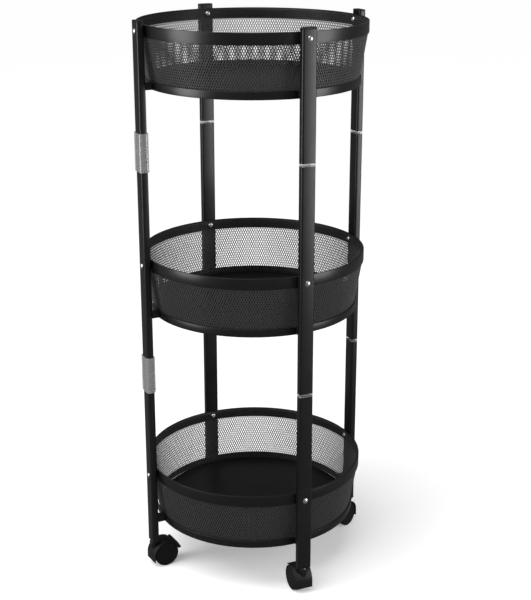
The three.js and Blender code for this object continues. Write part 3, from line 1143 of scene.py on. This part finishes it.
class CART_OT_brake_levers(bpy.types.Operator):
    """Makes the ridged lever of each brake"""

    bl_idname = "cart.brake_levers"
    bl_label = "Brake levers"

    def pad(self, sizes, axle, turn):
        """The pad in the lever's own frame: flat on top, and hollowed to follow the wheels underneath."""
        thick = 2.2 * MM
        start = math.degrees(math.atan2(turn.translation.z - axle.z, turn.translation.x - axle.x)) - 2
        tip = math.degrees(sizes.lever_tip)
        under = arc((axle.x, axle.z), axle.z + sizes.lever_space, start, tip, 10)
        back = turn.inverted()
        points = [back @ Vector((x, 0, z)) for x, z in under]
        top = [(sizes.lever_length + 0.6 * MM, 1 * MM), (sizes.lever_length, thick), (0, thick)]
        bm = bmesh.new()
        face = outline(bm, [(point.x, point.z) for point in points] + top)
        made = bmesh.ops.extrude_face_region(bm, geom=[face])["geom"]
        width = 2 * sizes.lever_half_width
        bmesh.ops.translate(bm, vec=(0, width, 0), verts=verts_of(made))
        bmesh.ops.translate(bm, vec=(0, -width / 2, 0), verts=bm.verts)
        tidy(bm)
        soften(bm, 0.5 * MM, 3)
        return bm

    def execute(self, context):
        sizes = context.scene.cart_casters
        width = 2 * sizes.lever_half_width
        margin = 0.5 * MM
        ridge_height = 2.4 * MM
        ridge_middle = 1.5 * MM
        ridges = 4
        for corner in BRAKED:
            pivot = place_of_caster(corner).inverted() @ Vector(JOINTS[f"{corner}_brake_press"]["pos_m"])
            turn = Matrix.Translation(pivot) @ Matrix.Rotation(sizes.lever_slope, 4, "Y")
            parts = [(self.pad(sizes, axle_place(corner), turn), "UNION")]
            pitch = (sizes.lever_length - sizes.lever_eye) / ridges
            for i in range(ridges):
                along = sizes.lever_eye + (i + 0.75) * pitch
                size = (pitch * 0.5, width - 2 * margin, ridge_height)
                ridge = box_solid(size, (along, 0, ridge_middle))
                soften(ridge, 0.35 * MM)
                parts.append((ridge, "UNION"))
            parts.append((cross_rod(sizes.lever_eye, sizes.lever_half_width - 0.2 * MM, (0, 0, 0)), "UNION"))
            slot = (2 * (sizes.lever_eye + 1 * MM), 2 * (sizes.web_half + 0.3 * MM), 4 * sizes.lever_eye)
            parts.append((box_solid(slot, (0, 0, 0)), "DIFFERENCE"))
            lever = combine(parts)
            bmesh.ops.transform(lever, matrix=turn, verts=lever.verts)
            node = "caster_brake_lever"
            caster_piece(lever, corner, "brake_pedal", moulded_plastic, "brake", node)
        return {"FINISHED"}


# ---------------------------------------------------------------- studio
# Each softbox's bearing in degrees, distance, height, and width and height of its face.
SOFT_BOXES = {
    "left_box": (-48, 1.7, 0.85, (0.8, 1.5)),
    "right_box": (86, 1.7, 0.7, (0.9, 1.3)),
}
SOFT_BOX_AIM = Vector((0, 0, 0.5))
SUN_SPREAD = math.radians(55)
SUN_TILT = math.radians(24)
SUN_HEADING = math.radians(-25)
FLOOR_HALF = 30.0
SENSOR_WIDTH = 36


class CART_OT_studio(bpy.types.Operator):
    """Makes the floor, the lights and the camera"""

    bl_idname = "cart.studio"
    bl_label = "Studio"

    def soft_box(self, name, bearing, distance, height, size, power):
        """A softbox at a bearing from -Y towards +X that faces the cart."""
        light = bpy.data.lights.new(name, "AREA")
        light.shape = "RECTANGLE"
        light.size, light.size_y = size
        light.energy = power
        made = bpy.data.objects.new(name, light)
        bearing = math.radians(bearing)
        made.location = (distance * math.sin(bearing), -distance * math.cos(bearing), height)
        aim = SOFT_BOX_AIM - made.location
        made.rotation_euler = aim.to_track_quat("-Z", "Y").to_euler()
        bpy.context.scene.collection.objects.link(made)

    def execute(self, context):
        scene = context.scene
        studio = scene.cart_studio
        bm = bmesh.new()
        bmesh.ops.create_grid(bm, x_segments=4, y_segments=4, size=FLOOR_HALF)
        mesh = bpy.data.meshes.new("floor")
        bm.to_mesh(mesh)
        bm.free()
        mesh.materials.append(finish(studio_floor))
        floor = bpy.data.objects.new("floor", mesh)
        scene.collection.objects.link(floor)
        floor.visible_glossy = False

        sky = bpy.data.worlds.new("sky")
        sky.use_nodes = True
        background = sky.node_tree.nodes["Background"]
        background.inputs["Color"].default_value = (1, 1, 1, 1)
        background.inputs["Strength"].default_value = studio.sky
        scene.world = sky
        scene.view_settings.view_transform = "Standard"

        sun = bpy.data.lights.new("overhead", "SUN")
        sun.energy = studio.sun
        sun.angle = SUN_SPREAD
        made = bpy.data.objects.new("overhead", sun)
        made.rotation_euler = (SUN_TILT, 0, SUN_HEADING)
        scene.collection.objects.link(made)
        for name, place in SOFT_BOXES.items():
            self.soft_box(name, *place, getattr(studio, name))

        lens = bpy.data.cameras.new("camera")
        lens.lens = studio.lens
        lens.sensor_width = SENSOR_WIDTH
        camera = bpy.data.objects.new("camera", lens)
        camera.location = (
            studio.distance * math.sin(studio.bearing),
            -studio.distance * math.cos(studio.bearing),
            studio.height,
        )
        camera.rotation_euler = (math.radians(90) - studio.tilt, 0, studio.bearing - studio.turn)
        scene.collection.objects.link(camera)
        scene.camera = camera
        return {"FINISHED"}


# ---------------------------------------------------------------- the add-on
SETTINGS = {
    "cart_baskets": CartBaskets,
    "cart_legs": CartLegs,
    "cart_casters": CartCasters,
    "cart_finishes": CartFinishes,
    "cart_studio": CartStudio,
}
MAKERS = (
    CART_OT_rim_hoops,
    CART_OT_mesh_walls,
    CART_OT_bottom_bands,
    CART_OT_floor_plates,
    CART_OT_leg_tubes,
    CART_OT_clear_connectors,
    CART_OT_clear_sleeves,
    CART_OT_leg_ends,
    CART_OT_rim_fasteners,
    CART_OT_caster_stems,
    CART_OT_caster_hoods,
    CART_OT_caster_wheels,
    CART_OT_brake_levers,
    CART_OT_studio,
)


class CART_PT_panel(bpy.types.Panel):
    """The cart's settings, and a button for each piece"""

    bl_idname = "CART_PT_panel"
    bl_label = "Rolling Cart"
    bl_space_type = "VIEW_3D"
    bl_region_type = "UI"
    bl_category = "Cart"

    def draw(self, context):
        for maker in MAKERS:
            self.layout.operator(maker.bl_idname)
        for name in SETTINGS:
            group = getattr(context.scene, name)
            box = self.layout.box()
            for key in group.bl_rna.properties.keys():
                if key not in ("rna_type", "name"):
                    box.prop(group, key)


def register():
    """Adds the settings, the operators and the panel."""
    for name, group in SETTINGS.items():
        bpy.utils.register_class(group)
        setattr(bpy.types.Scene, name, PointerProperty(type=group))
    for maker in (*MAKERS, CART_PT_panel):
        bpy.utils.register_class(maker)


def unregister():
    """Takes them away again."""
    for maker in (CART_PT_panel, *reversed(MAKERS)):
        bpy.utils.unregister_class(maker)
    for name, group in reversed(SETTINGS.items()):
        delattr(bpy.types.Scene, name)
        bpy.utils.unregister_class(group)


def main():
    """Makes the cart."""
    register()
    for maker in MAKERS:
        group, name = maker.bl_idname.split(".")
        getattr(getattr(bpy.ops, group), name)()


if __name__ == "__main__":
    main()
